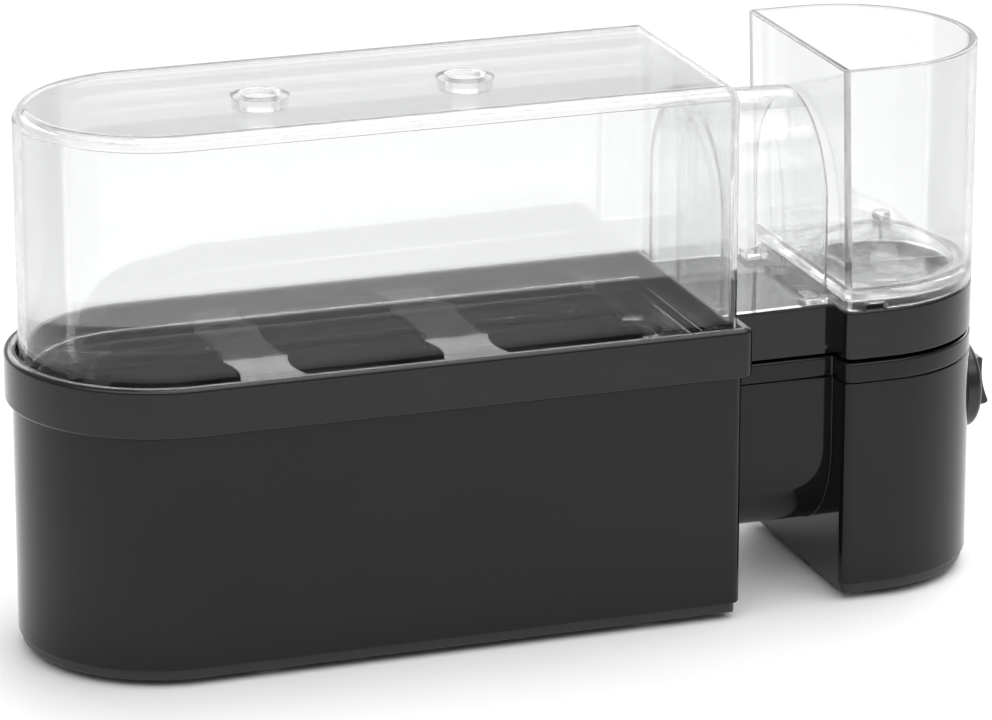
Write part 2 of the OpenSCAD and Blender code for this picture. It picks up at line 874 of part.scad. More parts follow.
// Clear cup with a domed floor that holds the needle
module measuring_cup() {
  dome_z = dome_top_z - dome_r;
  color([0.85, 0.88, 0.9, 0.35]) place() difference() {
    union() {
      difference() {
        cup_outline(0, cup_low_z, cup_top_z);
        cup_outline(cup_wall, cup_floor_z + cup_wall, cup_top_z + 1);
      }
      intersection() {
        translate([dome_x, 0, dome_z]) sphere(dome_r);
        span([0, -far, cup_floor_z], [far, far, far]);
      }
      translate([dome_x, 0, dome_top_z - 1]) cylinder(r = boss_r, h = boss_top_z - dome_top_z + 1);
    }
    cup_outline(cup_wall, cup_low_z - 1, cup_floor_z);
    intersection() {
      translate([dome_x, 0, dome_z]) sphere(dome_r - cup_wall);
      span([0, -far, cup_floor_z - 1], [far, far, far]);
    }
    translate([dome_x, 0, 0]) cylinder(r = needle_r, h = boss_top_z - 1);
    span([notch_x0, -far, 0], [notch_x1, 0, cup_low_z + notch_h]);
  }
}

module piercing_needle() {
  color([0.8, 0.8, 0.82]) place() translate([dome_x, 0, 0]) {
    translate([0, 0, needle_tip_z + needle_point_l])
      cylinder(r = needle_r, h = boss_top_z - 1 - needle_tip_z - needle_point_l);
    translate([0, 0, needle_tip_z]) cylinder(r1 = 0.08, r2 = needle_r, h = needle_point_l);
  }
}

// ---------------------------------------------------------------- selection

lower_housing();
base_cover();
tower_base_cover();
top_deck();
rubber_feet();
base_screws();
tower_screws();
heating_dish();
dish_seal();
dish_nuts();
heating_element();
element_pins();
thermostat();
thermal_fuse();
fuse_clip();
earth_tag();
terminal_block();
buzzer();
cord_gland();
heater_wires();
switch_wires();
switch_bezel();
switch_body();
switch_blades();
rocker_pin();
switch_rocker();
egg_tray();
hood();
measuring_cup();
piercing_needle();
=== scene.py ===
"""Egg cooker: the looks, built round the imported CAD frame.

Outlines are drawn in millimetres with x = 0 at the centre of the chamber's round end;
mesh_object() turns them into metres in the frame's own place. A profile is a list of
(inset, z) points, where inset is how far inside the outline the point lies.
"""

import json
import math

import bmesh
import bpy
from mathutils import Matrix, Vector


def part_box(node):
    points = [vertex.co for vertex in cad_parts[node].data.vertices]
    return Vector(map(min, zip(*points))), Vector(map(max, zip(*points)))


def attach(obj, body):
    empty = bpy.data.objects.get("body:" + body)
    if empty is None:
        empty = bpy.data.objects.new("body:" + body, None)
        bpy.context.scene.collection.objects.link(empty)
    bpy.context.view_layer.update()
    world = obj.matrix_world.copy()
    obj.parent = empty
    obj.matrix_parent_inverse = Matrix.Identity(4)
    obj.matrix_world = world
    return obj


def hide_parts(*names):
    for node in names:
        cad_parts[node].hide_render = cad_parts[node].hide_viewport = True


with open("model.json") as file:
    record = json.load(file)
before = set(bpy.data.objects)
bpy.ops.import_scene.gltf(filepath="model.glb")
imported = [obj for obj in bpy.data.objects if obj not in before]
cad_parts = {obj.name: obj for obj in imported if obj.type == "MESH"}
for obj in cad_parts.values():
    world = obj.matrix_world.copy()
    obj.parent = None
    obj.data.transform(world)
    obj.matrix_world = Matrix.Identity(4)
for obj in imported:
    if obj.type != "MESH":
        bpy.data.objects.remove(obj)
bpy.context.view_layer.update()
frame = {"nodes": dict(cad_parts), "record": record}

MM = 0.001

# ------------------------------------------------------------------ sizes from the frame, mm

tray_low, tray_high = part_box("egg_tray")
ORIGIN = Vector((tray_low.x + tray_high.y, 0, 0))  # the round end's centre in the frame, metres


def box_mm(node):
    """Lowest and highest corner of a CAD node in millimetres, x from the round end's centre."""
    low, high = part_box(node)
    return (low - ORIGIN) / MM, (high - ORIGIN) / MM


_, TRAY_HIGH = box_mm("egg_tray")
HOOD_LOW, HOOD_HIGH = box_mm("hood")
CUP_LOW, CUP_HIGH = box_mm("measuring_cup")
NEEDLE_LOW, NEEDLE_HIGH = box_mm("piercing_needle")
_, HOUSE_HIGH = box_mm("lower_housing")
_, COVER_HIGH = box_mm("base_cover")
TOWER_COVER_LOW, _ = box_mm("tower_base_cover")
_, DECK_HIGH = box_mm("top_deck")
DISH_LOW, DISH_HIGH = box_mm("heating_dish")
PIN_LOW, PIN_HIGH = box_mm("rocker_pin")

# _W is half a width, _FLAT the x of an outline's flat side
COVER_INSET = HOUSE_HIGH.y - COVER_HIGH.y
BODY_W = HOUSE_HIGH.y
BODY_FLAT = COVER_HIGH.x + COVER_INSET
RIM_W = TRAY_HIGH.y
RIM_FLAT = BODY_FLAT + RIM_W - BODY_W + 0.1
TOWER_W = CUP_HIGH.y
TOWER_FLAT = TOWER_COVER_LOW.x - COVER_INSET
TOWER_ARC_X = TRAY_HIGH.x - TOWER_W
BRIDGE_W = 22.5
CORNER_R = 2.4

RIB_H = 1.6
RIB_TOP = TRAY_HIGH.z
RIM_TOP = RIB_TOP - RIB_H
DECK_TOP = DECK_HIGH.z
TRAY_WALL = 2.0
TRAY_BOTTOM = DECK_TOP + 0.8
TRAY_UNDER = HOUSE_HIGH.z
TRAY_FLOOR = TRAY_UNDER + 1.5

HOOD_W = HOOD_HIGH.y
HOOD_STRAIGHT = 94.8
HOOD_FLAT = HOOD_W + HOOD_STRAIGHT
HOOD_BOTTOM = HOOD_LOW.z
HOOD_TOP = HOOD_HIGH.z

SEAT_PITCH = 47.4
SEATS = [0.5 + i * SEAT_PITCH for i in range(3)]
BETWEEN_SEATS = [(a + b) / 2 for a, b in zip(SEATS, SEATS[1:])]

DOME_X = (NEEDLE_LOW.x + NEEDLE_HIGH.x) / 2


# ------------------------------------------------------------------ outlines and profiles

ROUND_END_STEPS = 56
CORNER_STEPS = 8
MIN_CORNER_R = 0.12

# Rounds of a profile that runs up the outside and down the inside: which way the centre lies
# from the sharp corner (in inset and in z), and the angles that the round runs through.
TURNS = {
    "outside_top": (1, -1, 180, 90),
    "inside_top": (-1, -1, 90, 0),
    "inside_bottom": (-1, 1, 0, -90),
    "outside_bottom": (1, 1, 270, 180),
    "wall_to_floor": (1, 1, 180, 270),
    "ceiling_to_wall": (1, -1, 90, 180),
}


def arc(cx, cy, r, start, end, steps):
    """Points on a circle between two angles in degrees, both ends included."""
    angles = [math.radians(start + (end - start) * i / steps) for i in range(steps + 1)]
    return [(cx + r * math.cos(a), cy + r * math.sin(a)) for a in angles]


def circle(cx, cy, r, count):
    """Points evenly round a whole circle, none of them twice."""
    return arc(cx, cy, r, 0, 360 - 360 / count, count - 1)


def turn(kind, inset, z, r, steps):
    """Quarter round of a profile in place of the sharp corner at (inset, z)."""
    inset_way, z_way, start, end = TURNS[kind]
    return arc(inset + inset_way * r, z + z_way * r, r, start, end, steps)


def d_outline(half_w, flat, corner_r):
    """D outline: half circle about x = 0 towards -X, straight sides, flat side at x = flat."""
    r = max(corner_r, MIN_CORNER_R)
    return (
        arc(0, 0, half_w, 90, 270, ROUND_END_STEPS)
        + arc(flat - r, r - half_w, r, -90, 0, CORNER_STEPS)
        + arc(flat - r, half_w - r, r, 0, 90, CORNER_STEPS)
    )


def tower_outline(half_w, flat, corner_r):
    """D outline of the tower: flat side at x = flat, half circle towards +X."""
    mirrored = d_outline(half_w, TOWER_ARC_X - flat, corner_r)
    return [(TOWER_ARC_X - x, y) for x, y in mirrored]


def d_rings(profile, half_w, flat, corner_r, outline=d_outline, lean=None):
    """One closed outline for each (inset, z) of a profile; lean(z) moves the flat side."""
    inwards = -1 if outline is d_outline else 1
    rings = []
    for inset, z in profile:
        moved = lean(z) if lean else 0.0
        points = outline(half_w - inset, flat + moved + inwards * inset, corner_r - inset)
        rings.append([(x, y, z) for x, y in points])
    return rings


# ------------------------------------------------------------------ meshes

def mesh_object(name, bm):
    """Object in metres, in the frame's place, from a bmesh drawn in millimetres."""
    bmesh.ops.recalc_face_normals(bm, faces=bm.faces)
    for vertex in bm.verts:
        vertex.co = vertex.co * MM + ORIGIN
    mesh = bpy.data.meshes.new(name)
    bm.to_mesh(mesh)
    bm.free()
    piece = bpy.data.objects.new(name, mesh)
    bpy.context.scene.collection.objects.link(piece)
    return piece


def loft(name, rings, closed=False):
    """Skins a list of rings with the same number of points; open lofts get flat caps."""
    bm = bmesh.new()
    rows = [[bm.verts.new(p) for p in ring] for ring in rings]
    count = len(rows[0])
    pairs = list(zip(rows, rows[1:])) + ([(rows[-1], rows[0])] if closed else [])
    for lower, upper in pairs:
        for i in range(count):
            j = (i + 1) % count
            bm.faces.new((lower[i], lower[j], upper[j], upper[i]))
    if not closed:
        bm.faces.new(rows[0])
        bm.faces.new(rows[-1])
    return mesh_object(name, bm)


def lathe(name, profile, x, count=64):
    """Solid of revolution about the upright axis at (x, 0), from (radius, z) points."""
    return loft(name, [[(px, py, z) for px, py in circle(x, 0, r, count)] for r, z in profile])


def prism(name, outline, z0, z1):
    """Upright prism over an outline."""
    return loft(name, [[(x, y, z) for x, y in outline] for z in (z0, z1)])


def block(name, low, high, r=0.0, steps=4):
    """Box between two corners whose upright edges and top and bottom rims are rounded by r."""
    (x0, y0, z0), (x1, y1, z1) = low, high
    c = max(r, 0.05)
    corners = ((x1 - c, y1 - c, 0), (x0 + c, y1 - c, 90),
               (x0 + c, y0 + c, 180), (x1 - c, y0 + c, 270))

    def ring(inset, z):
        points = []
        for cx, cy, start in corners:
            points += arc(cx, cy, c - inset, start, start + 90, steps)
        return [(x, y, z) for x, y in points]

    if r <= 0:
        return loft(name, [ring(0, z0), ring(0, z1)])
    most = 0.98 * r  # stops short of r, so that the corner's points stay apart
    lower = [(min(i, most), z) for i, z in turn("outside_bottom", 0, z0, r, steps)]
    upper = [(i, z0 + z1 - z) for i, z in reversed(lower)]
    return loft(name, [ring(i, z) for i, z in lower + upper])


def combine(piece, others, operation):
    """Exact boolean of a piece with each of the others, which are used up."""
    for other in others:
        cut = piece.modifiers.new("cut", "BOOLEAN")
        cut.operation = operation
        cut.solver = "EXACT"
        cut.object = other
        depsgraph = bpy.context.evaluated_depsgraph_get()
        evaluated = piece.evaluated_get(depsgraph)
        result = bpy.data.meshes.new_from_object(evaluated, depsgraph=depsgraph)
        piece.modifiers.clear()
        piece.data = result
        bpy.data.objects.remove(other)
    return piece


def join_with(piece, *others):
    return combine(piece, others, "UNION")


def cut_with(piece, *others):
    return combine(piece, others, "DIFFERENCE")


WELD_DISTANCE = 1e-6
SAME_PLANE_DEG = 0.3
FLAT_FACE_WEIGHT = 80


def soften(piece, width_mm, segments=2, angle=38, weld=False, clamp=True):
    """Small round on every edge sharper than angle, with normals that keep the flats flat.

    weld joins doubled points and flat neighbours first, as CAD meshes need. clamp narrows
    all the rounds of the piece until none of them overlap.
    """
    if weld:
        joined = piece.modifiers.new("weld", "WELD")
        joined.merge_threshold = WELD_DISTANCE
        flat = piece.modifiers.new("flat", "DECIMATE")
        flat.decimate_type = "DISSOLVE"
        flat.angle_limit = math.radians(SAME_PLANE_DEG)
    if width_mm > 0:
        bevel = piece.modifiers.new("round", "BEVEL")
        bevel.width = width_mm * MM
        bevel.segments = segments
        bevel.limit_method = "ANGLE"
        bevel.angle_limit = math.radians(angle)
        bevel.miter_outer = "MITER_ARC"
        bevel.use_clamp_overlap = clamp
    for polygon in piece.data.polygons:
        polygon.use_smooth = True
    weighted = piece.modifiers.new("normals", "WEIGHTED_NORMAL")
    weighted.keep_sharp = True
    weighted.weight = FLAT_FACE_WEIGHT


# ------------------------------------------------------------------ shader nodes

NOISE_LOW, NOISE_HIGH = 0.3, 0.7  # the span that nearly all noise values lie in


def node_tree(name):
    material = bpy.data.materials.new(name)
    material.use_nodes = True
    tree = material.node_tree
    return material, tree, tree.nodes["Principled BSDF"]


def set_sockets(node, values):
    """Fixed values for some of a node's input sockets."""
    for key, value in values.items():
        node.inputs[key].default_value = value


def add(tree, kind, **settings):
    """New node; each setting is an input socket's value or else a property of the node."""
    made = tree.nodes.new(kind)
    for key, value in settings.items():
        if key in made.inputs:
            made.inputs[key].default_value = value
        else:
            setattr(made, key, value)
    return made


def noise(tree, scale, detail=4.0, stretch=(1, 1, 1)):
    """Noise in the piece's own coordinates; scale is in cycles per metre."""
    place = add(tree, "ShaderNodeTexCoord")
    sized = add(tree, "ShaderNodeMapping", Scale=stretch)
    tree.links.new(place.outputs["Object"], sized.inputs["Vector"])
    made = add(tree, "ShaderNodeTexNoise", Scale=scale, Detail=detail, Roughness=0.55)
    tree.links.new(sized.outputs["Vector"], made.inputs["Vector"])
    return made.outputs["Fac"]


def ramp(tree, value, stops):
    """Colour ramp through (position, colour) stops."""
    made = add(tree, "ShaderNodeValToRGB")
    tree.links.new(value, made.inputs["Fac"])
    elements = made.color_ramp.elements
    while len(elements) < len(stops):
        elements.new(0.5)
    for element, (at, colour) in zip(elements, stops):
        element.position = at
        element.color = (*colour, 1)
    return made.outputs["Color"]


def blend(tree, value, dark, light):
    """Colour drift between two shades that follows a noise value."""
    return ramp(tree, value, [(NOISE_LOW, dark), (NOISE_HIGH, light)])


def grey(value):
    return (value, value, value)


def span(tree, value, start, end, low, high, kind="SMOOTHSTEP"):
    """Change from low to high while value goes from start to end."""
    made = add(tree, "ShaderNodeMapRange", interpolation_type=kind)
    set_sockets(made, {"From Min": start, "From Max": end, "To Min": low, "To Max": high})
    tree.links.new(value, made.inputs["Value"])
    return made.outputs["Result"]


def spread(tree, value, low, high):
    """Maps a noise value onto a range."""
    return span(tree, value, NOISE_LOW, NOISE_HIGH, low, high, "LINEAR")


def step(tree, value, start, end, low=0.0, high=1.0):
    """Smooth change from low to high while value goes from start to end."""
    return span(tree, value, start, end, low, high)


def along(tree, vector, direction):
    """Dot product of a vector socket with a fixed direction."""
    made = add(tree, "ShaderNodeVectorMath", operation="DOT_PRODUCT")
    tree.links.new(vector, made.inputs[0])
    made.inputs[1].default_value = direction
    return made.outputs["Value"]


def calc(tree, operation, *values):
    """Arithmetic on sockets and plain numbers."""
    made = add(tree, "ShaderNodeMath", operation=operation)
    for socket, value in zip(made.inputs, values):
        if isinstance(value, (int, float)):
            socket.default_value = value
        else:
            tree.links.new(value, socket)
    return made.outputs["Value"]


def multiply_colours(tree, first, second):
    """Product of two colour sockets, as the Mix node's colour sockets are numbered."""
    factor, colour_a, colour_b, result = 0, 6, 7, 2
    made = add(tree, "ShaderNodeMix", data_type="RGBA", blend_type="MULTIPLY")
    made.inputs[factor].default_value = 1.0
    tree.links.new(first, made.inputs[colour_a])
    tree.links.new(second, made.inputs[colour_b])
    return made.outputs[result]


def bump(tree, shader, heights):
    """Chains bump nodes; heights is a list of (value, distance in metres)."""
    normal = None
    for value, distance in heights:
        made = add(tree, "ShaderNodeBump", Strength=1.0, Distance=distance)
        tree.links.new(value, made.inputs["Height"])
        if normal is not None:
            tree.links.new(normal, made.inputs["Normal"])
        normal = made.outputs["Normal"]
    tree.links.new(normal, shader.inputs["Normal"])


# ------------------------------------------------------------------ materials

CLEAR_SHARE = 0.2  # part of the clear plastic that is plainly see-through
CLEAR_TINT = (0.935, 0.94, 0.94)
# painted shade: darker tint for the clear plastic's end faces seen edge-on
PAINTED_SHADE_CLEAR_TINT = (0.52, 0.53, 0.53)
CLEAR_IOR = 1.45
# the clear plastic's colour darkens between these facing values down to the last one: painted
# shade on its outlines
FACING_START, FACING_END, PAINTED_GRAZING_SHADE = 0.76, 0.94, 0.3


def plastic(name, dark, light, rough, rough_spread, grain, specular=0.5):
    """Moulded plastic: faint colour drift, uneven gloss and a fine surface ripple."""
    material, tree, shader = node_tree(name)
    drift = noise(tree, 45, 3)
    tree.links.new(blend(tree, drift, dark, light), shader.inputs["Base Color"])
    smear = noise(tree, 140, 5, (1, 1, 0.35))
    tree.links.new(spread(tree, smear, rough, rough + rough_spread), shader.inputs["Roughness"])
    set_sockets(shader, {"Specular IOR Level": specular})
    bump(tree, shader, [(noise(tree, 260, 2), 4e-6), (noise(tree, 5200, 2), grain)])
    return material


def clear_plastic(name, tint):
    """Clear moulded plastic that lets lamplight through instead of casting a hard shadow.

    Its colour is darkened where the eye looks along the wall: painted shade that draws its
    outlines.
    """
    material, tree, shader = node_tree(name)
    drift = blend(tree, noise(tree, 30, 2), tuple(c * 0.992 for c in tint), tint)
    # painted shade: the colour darkens where the eye looks along the wall
    facing = add(tree, "ShaderNodeLayerWeight", Blend=0.5).outputs["Facing"]
    painted_outline_shade = ramp(tree, facing, [(0.0, grey(1)), (FACING_START, grey(1)),
                               (FACING_END, grey(PAINTED_GRAZING_SHADE))])
    tree.links.new(multiply_colours(tree, drift, painted_outline_shade), shader.inputs["Base Color"])
    set_sockets(shader, {"Transmission Weight": 1.0, "IOR": CLEAR_IOR, "Roughness": 0.0})
    bump(tree, shader, [(noise(tree, 60, 2, (1, 1, 0.5)), 6e-6)])
    lamp = add(tree, "ShaderNodeBsdfTransparent")
    set_sockets(lamp, {"Color": (*(math.sqrt(c) for c in tint), 1)})
    path = add(tree, "ShaderNodeLightPath")
    clear = step(tree, path.outputs["Is Shadow Ray"], 0.0, 1.0, CLEAR_SHARE, 1.0)
    mix = add(tree, "ShaderNodeMixShader")
    tree.links.new(clear, mix.inputs["Fac"])
    tree.links.new(shader.outputs["BSDF"], mix.inputs[1])
    tree.links.new(lamp.outputs["BSDF"], mix.inputs[2])
    out = tree.nodes["Material Output"]
    tree.links.new(mix.outputs["Shader"], out.inputs["Surface"])
    return material


def metal(name, dark, light, rough, stretch):
    """Bare metal with fine drawn scratches."""
    material, tree, shader = node_tree(name)
    lines = noise(tree, 900, 4, stretch)
    tree.links.new(blend(tree, lines, dark, light), shader.inputs["Base Color"])
    tree.links.new(spread(tree, lines, rough * 0.8, rough * 1.3), shader.inputs["Roughness"])
    set_sockets(shader, {"Metallic": 1.0})
    bump(tree, shader, [(lines, 6e-6)])
    return material


def speckled_coating(name):
    """Dark non-stick coating with pale mineral flecks."""
    material, tree, shader = node_tree(name)
    flecks = add(tree, "ShaderNodeTexVoronoi", Scale=1400.0)
    place = add(tree, "ShaderNodeTexCoord")
    tree.links.new(place.outputs["Object"], flecks.inputs["Vector"])
    shades = [(0.0, grey(0.07)), (0.12, grey(0.03)), (1.0, grey(0.024))]
    tree.links.new(ramp(tree, flecks.outputs["Distance"], shades), shader.inputs["Base Color"])
    tree.links.new(spread(tree, noise(tree, 300), 0.28, 0.42), shader.inputs["Roughness"])
    set_sockets(shader, {"Metallic": 0.25})
    bump(tree, shader, [(noise(tree, 2500, 3), 3e-6)])
    return material


def rubber(name, dark, light):
    """Matt rubber or silicone with a coarse grain."""
    material, tree, shader = node_tree(name)
    grain = noise(tree, 2600, 5)
    shades = [(0.35, dark), (0.65, light)]
    tree.links.new(ramp(tree, grain, shades), shader.inputs["Base Color"])
    tree.links.new(spread(tree, grain, 0.55, 0.8), shader.inputs["Roughness"])
    bump(tree, shader, [(grain, 3e-5)])
    return material


def studio_floor(name):
    """Matt white paper with a painted pool of light: lighter around the object, darker farther
    out.
    """
    material, tree, shader = node_tree(name)
    place = add(tree, "ShaderNodeTexCoord").outputs["Object"]
    distance = add(tree, "ShaderNodeVectorMath", operation="LENGTH")
    tree.links.new(place, distance.inputs[0])
    # painted pool of light: the paper's colour is lighter near the object and darker farther out
    paper_and_painted_light_pool = step(tree, distance.outputs["Value"], 0.18, 0.45, 0.86, 0.69)
    grain = step(tree, noise(tree, 25, 3), NOISE_LOW, NOISE_HIGH, 0.99, 1.01)
    tree.links.new(calc(tree, "MULTIPLY", paper_and_painted_light_pool, grain), shader.inputs["Base Color"])
    set_sockets(shader, {"Roughness": 0.5, "Specular IOR Level": 0.1})
    return material


# slot, kind, then for a plastic its dark and light shade, roughness, roughness spread,
# grain in metres and specular level; for a metal its shades, roughness and scratch stretch
MATERIALS = (
    ("gloss_black", plastic, grey(0.005), grey(0.006), 0.05, 0.04, 5e-7, 0.3),
    ("tray_black", plastic, grey(0.005), grey(0.007), 0.035, 0.03, 5e-7, 0.4),
    ("satin_black", plastic, grey(0.012), grey(0.016), 0.3, 0.12, 3e-6),
    ("switch_black", plastic, grey(0.01), grey(0.014), 0.2, 0.08, 2e-6),
    ("clear_plastic", clear_plastic, CLEAR_TINT),
    ("dish_coating", speckled_coating),
    ("foot_rubber", rubber, grey(0.012), grey(0.024)),
    ("seal_silicone", rubber, (0.24, 0.05, 0.03), (0.34, 0.08, 0.05)),
    ("screw_steel", metal, grey(0.5), grey(0.68), 0.28, (1, 1, 1)),
    ("needle_steel", metal, grey(0.6), grey(0.75), 0.15, (1, 1, 0.1)),
    ("element_steel", metal, (0.2, 0.18, 0.16), (0.34, 0.32, 0.3), 0.4, (0.15, 1, 1)),
    ("control_metal", metal, (0.5, 0.47, 0.4), (0.66, 0.63, 0.56), 0.35, (1, 1, 0.2)),
    ("contact_brass", metal, (0.55, 0.38, 0.14), (0.72, 0.53, 0.24), 0.25, (0.2, 1, 1)),
    ("fuse_body", plastic, (0.62, 0.54, 0.34), (0.72, 0.64, 0.42), 0.35, 0.1, 2e-6),
    ("block_white", plastic, (0.66, 0.64, 0.58), (0.74, 0.72, 0.66), 0.4, 0.1, 3e-6),
    ("wire_red", plastic, (0.38, 0.03, 0.025), (0.46, 0.045, 0.035), 0.35, 0.1, 2e-6),
    ("wire_blue", plastic, (0.05, 0.11, 0.36), (0.07, 0.14, 0.42), 0.35, 0.1, 2e-6),
)
BY_SLOT = {slot: make(slot, *settings) for slot, make, *settings in MATERIALS}
# clear material with painted shade for the end faces
PAINTED_SHADE_CLEAR = clear_plastic("clear_painted_shade", PAINTED_SHADE_CLEAR_TINT)
SLOT_OF = {row["node"]: row["material_slot"] for row in frame["record"]["subparts"]}

replaced = set()


def paint(piece, material):
    piece.data.materials.clear()
    piece.data.materials.append(material)


def finish_piece(piece, body, node, slot, **softening):
    """Material, edge rounding, body and the CAD node that the piece stands for."""
    paint(piece, BY_SLOT[slot])
    soften(piece, **softening)
    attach(piece, body)
    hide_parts(node)
    replaced.add(node)


def shade_edges(piece, is_edge):
    """Second clear material, darker with painted shade, for the narrow end faces seen along the
    wall.
    """
    piece.data.materials.append(PAINTED_SHADE_CLEAR)
    for polygon in piece.data.polygons:
        if is_edge((polygon.center - ORIGIN) / MM, polygon.normal):
            polygon.material_index = 1


# ------------------------------------------------------------------ hood

HOOD_CEILING = 1.9
HOOD_WALL = 2.0
HOOD_STEP = 0.4
HOOD_TOP_R = 3.0

ARCH_ROOT_R = 23.3
ARCH_AXIS_Z = 91.8
ARCH_WALL = 2.0
ARCH_END_X = 149.9
ARCH_LOW_Z = RIM_TOP + 0.2
ARCH_STEPS = 40

TAB_INNER_W = 15.2
TAB_LENGTH = 4.6
TAB_H = 1.5

COLLAR_R = 6.2
COLLAR_DEPTH = 4.8
HOLE_R = 4.4


def hood_profile():
    """(inset, z) from the middle of the ceiling, down inside, and up outside to the top."""
    shoulder = HOOD_TOP - HOOD_TOP_R
    top = turn("outside_top", HOOD_STEP, HOOD_TOP + 0.05, HOOD_TOP_R, 10)
    return (
        turn("ceiling_to_wall", HOOD_WALL, HOOD_TOP - HOOD_CEILING, 1.1, 6)
        + turn("inside_bottom", HOOD_WALL, HOOD_BOTTOM, 0.4, 3)
        + turn("outside_bottom", 0, HOOD_BOTTOM, 0.4, 3)
        + turn("outside_top", 0, shoulder, 0.12, 3)
        + [(inset, min(z, HOOD_TOP)) for inset, z in top]
    )


def arch_radius(x):
    """The arch tapers from its root on the hood to the bridge's width at its free end."""
    share = (x - HOOD_FLAT) / (ARCH_END_X - HOOD_FLAT)
    return ARCH_ROOT_R + (BRIDGE_W - ARCH_ROOT_R) * share


def arch_section(x, shrink):
    """U shaped section of the grip arch at x: outside over the top, inside back."""
    r_out = arch_radius(x) - shrink
    r_in = arch_radius(x) - ARCH_WALL + shrink
    outer = arc(0, ARCH_AXIS_Z, r_out, 0, 180, ARCH_STEPS)
    inner = arc(0, ARCH_AXIS_Z, r_in, 180, 0, ARCH_STEPS)
    points = ([(r_out, ARCH_LOW_Z)] + outer + [(-r_out, ARCH_LOW_Z)]
              + [(-r_in, ARCH_LOW_Z)] + inner + [(r_in, ARCH_LOW_Z)])
    return [(x, y, z) for y, z in points]


def grip_arch():
    """Half-round arch from just inside the hood's flat wall to its rounded free end."""
    stations = [(HOOD_FLAT - 0.8, 0.0), (ARCH_END_X - 0.35, 0.0), (ARCH_END_X - 0.1, 0.1),
                (ARCH_END_X, 0.35)]
    return loft("arch", [arch_section(x, shrink) for x, shrink in stations])


def arch_tab(side):
    """Small ledge inside the arch's foot."""
    y0, y1 = sorted((side * TAB_INNER_W, side * (BRIDGE_W - 0.1)))
    return block("tab", (ARCH_END_X - TAB_LENGTH, y0, ARCH_LOW_Z),
                 (ARCH_END_X + 0.3, y1, ARCH_LOW_Z + TAB_H), 0.25, 2)


def make_hood():
    """Clear hood with a stepped shoulder, grip arch and two collared steam holes."""
    hood = loft("hood_clear", d_rings(hood_profile(), HOOD_W, HOOD_FLAT, CORNER_R))
    collar_low = HOOD_TOP - COLLAR_DEPTH
    ceiling = HOOD_TOP - HOOD_CEILING
    collar = [(COLLAR_R - 0.4, collar_low), (COLLAR_R - 0.1, collar_low + 0.1),
              (COLLAR_R, collar_low + 0.4), (COLLAR_R + 0.1, ceiling - 0.5),
              (COLLAR_R + 0.6, ceiling + 0.3)]
    bore = [(HOLE_R + 0.6, collar_low - 0.3), (HOLE_R + 0.15, collar_low + 0.25),
            (HOLE_R, collar_low + 0.7), (HOLE_R, HOOD_TOP - 0.5),
            (HOLE_R + 0.1, HOOD_TOP - 0.18), (HOLE_R + 0.5, HOOD_TOP + 0.12)]
    join_with(hood, grip_arch(), *[arch_tab(side) for side in (-1, 1)],
              *[lathe("collar", collar, x) for x in BETWEEN_SEATS])
    cut_with(hood, *[lathe("bore", bore, x) for x in BETWEEN_SEATS])
    finish_piece(hood, "hood_body", "hood", "clear_plastic", width_mm=0.12)
    shade_edges(hood, lambda at, normal: at.x > ARCH_END_X - 0.3 and normal.x > 0.7)


# ------------------------------------------------------------------ measuring cup

CUP_WALL = 1.8
CUP_FLOOR = CUP_LOW.z + 2.15
CUP_CORNER_R = 1.6
CUP_LEAN = 1.5
CUP_FLAT = CUP_LOW.x + CUP_LEAN
DOME_R = 25.9
DOME_TOP = CUP_HIGH.z - 45.0
DOME_STEPS = 14
BOSS_TOP = CUP_HIGH.z - 42.1
BOSS_FOOT_R = 2.5
NEEDLE_R = 0.48
NOTCH_X = (156.5, 161.5)
NOTCH_INNER_W = 15
NOTCH_H = 1.4


def cup_lean(z):
    """The flat wall leans a little away from the round one towards the top."""
    return -CUP_LEAN * (z - CUP_LOW.z) / (CUP_HIGH.z - CUP_LOW.z)


def cup_profile():
    """(inset, z) from under the floor, round the skirt and the rim, to the floor's middle."""
    return (
        [(CUP_WALL + 1.2, CUP_FLOOR)]
        + turn("ceiling_to_wall", CUP_WALL, CUP_FLOOR, 0.6, 3)
        + turn("inside_bottom", CUP_WALL, CUP_LOW.z, 0.3, 3)
        + turn("outside_bottom", 0, CUP_LOW.z, 0.3, 3)
        + turn("outside_top", 0, CUP_HIGH.z, 0.45, 4)
        + turn("inside_top", CUP_WALL, CUP_HIGH.z, 0.45, 4)
        + turn("wall_to_floor", CUP_WALL, CUP_FLOOR + CUP_WALL, 1.6, 6)
    )


def dome_points(radius, low):
    """(radius, z) of a cap of a sphere from z = low up to just short of its top."""
    centre_z = DOME_TOP - DOME_R
    start = math.degrees(math.asin((low - centre_z) / radius))
    return arc(0, centre_z, radius, start, 90, DOME_STEPS)[:-1]


